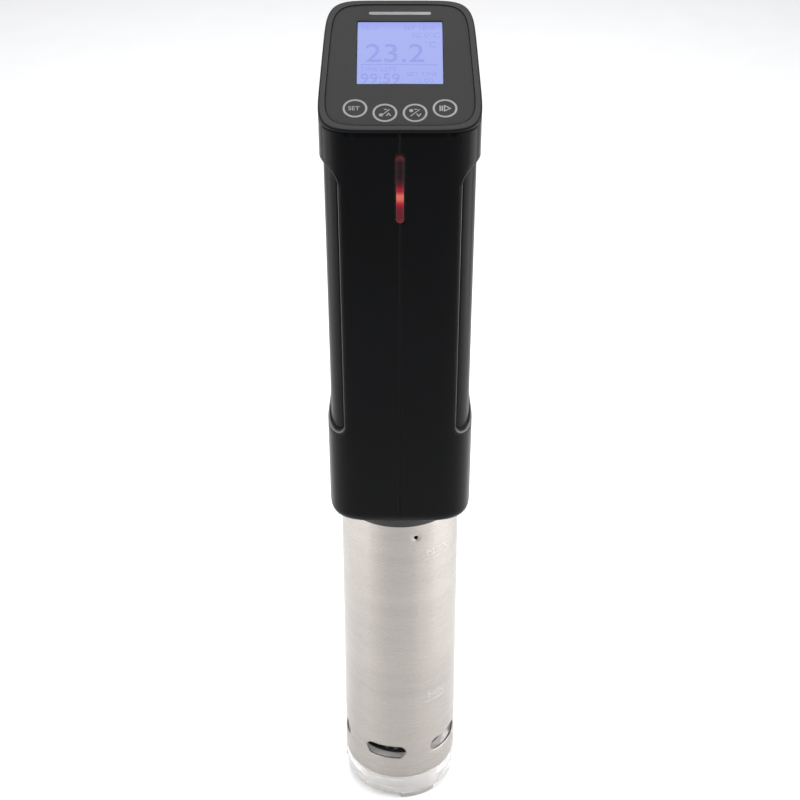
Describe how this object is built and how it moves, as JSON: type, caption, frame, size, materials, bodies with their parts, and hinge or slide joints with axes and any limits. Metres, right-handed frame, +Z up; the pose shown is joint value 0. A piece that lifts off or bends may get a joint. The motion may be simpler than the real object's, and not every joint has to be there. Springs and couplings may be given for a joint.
{
  "type": "sous vide circulator",
  "caption": "Tall black sous vide circulator with a tilted display head, touch keys, a steel heater sleeve with water outlets, a clear end cap and a rear spring clip.",
  "frame": {"origin": "on the sleeve's axis, in the plane the feet stand on", "axes": "+Z up along the sleeve, -Y towards the user at the display side, +X to the right"},
  "size_m": [0.0678, 0.1053, 0.4177],
  "materials": {
    "casing": "satin black moulded plastic",
    "grip": "satin black moulded plastic",
    "bezel": "fine matte dark grey plastic",
    "panel": "matte dark grey film over plastic",
    "key_silver": "silver print",
    "display": "lit pale blue liquid crystal display",
    "white_plastic": "satin white plastic",
    "circuit_board": "green solder mask",
    "screw_steel": "plated",
    "spring_brass": "bright",
    "spring_steel": "bright drawn wire",
    "black_rubber": "matte",
    "black_plastic": "matte",
    "blue_plastic": "satin",
    "light_red": "translucent red, lit from behind",
    "copper": "enamelled wire",
    "aluminium": "cast",
    "collar": "satin dark grey plastic",
    "motor_steel": "zinc plated",
    "steel": "turned",
    "sleeve_steel": "fine brushed stainless steel",
    "heater_steel": "drawn, satin",
    "seal_red": "silicone",
    "clear_plastic": "clear polycarbonate",
    "clip_plastic": "fine textured black plastic"
  },
  "bodies": {
    "casing_body": {"left_shell": "casing", "right_shell": "casing", "left_grip": "grip", "right_grip": "grip", "shell_screws": "screw_steel", "top_bezel": "bezel", "panel_seal": "black_rubber", "control_panel": "panel", "key_rings": "key_silver", "lcd_glass": "display", "lcd_module": "white_plastic", "display_board": "circuit_board", "board_screws": "screw_steel", "touch_springs": "spring_brass", "buzzer": "black_plastic", "light_pipe": "light_red", "led_board": "circuit_board", "cord_gland": "black_rubber", "gland_nut": "black_plastic", "main_board": "circuit_board", "relay": "blue_plastic", "transformer": "copper", "capacitor": "black_plastic", "heat_sink": "aluminium", "terminal_block": "white_plastic", "collar": "collar", "motor_frame": "aluminium", "motor_can": "motor_steel", "stator": "copper", "motor_screws": "screw_steel", "heater_flange": "steel", "flange_seal": "black_rubber", "shaft_seal": "seal_red", "heater": "heater_steel", "shaft_guide": "steel", "temperature_probe": "steel", "level_probes": "steel", "clip_bracket": "clip_plastic", "bracket_screws": "screw_steel", "clip_pin": "screw_steel", "clip_spring": "spring_steel"},
    "pump_rotor": {"drive_shaft": "steel", "motor_rotor": "motor_steel", "cooling_fan": "black_plastic", "coupling": "aluminium", "impeller": "black_plastic"},
    "sleeve_body": {"sleeve": "sleeve_steel"},
    "cap_body": {"end_cap": "clear_plastic", "strainer": "black_plastic"},
    "clip_body": {"clip_lever": "clip_plastic", "jaw_pad": "black_rubber"}
  },
  "joints": [
    {"name": "pump_spin", "type": "hinge", "parent": "casing_body", "child": "pump_rotor", "pos_m": [0, 0, 0.2], "axis": [0, 0, 1], "continuous": true},
    {"name": "sleeve_twist", "type": "hinge", "parent": "casing_body", "child": "sleeve_body", "pos_m": [0, 0, 0.186], "axis": [0, 0, 1], "range_deg": [0, 30]},
    {"name": "cap_twist", "type": "hinge", "parent": "sleeve_body", "child": "cap_body", "pos_m": [0, 0, 0.02], "axis": [0, 0, 1], "range_deg": [0, 25]},
    {"name": "clip_hinge", "type": "hinge", "parent": "casing_body", "child": "clip_body", "pos_m": [0, 0.05, 0.246], "axis": [1, 0, 0], "range_deg": [0, 20], "stiffness_Nm_per_rad": 1.2}
  ]
}
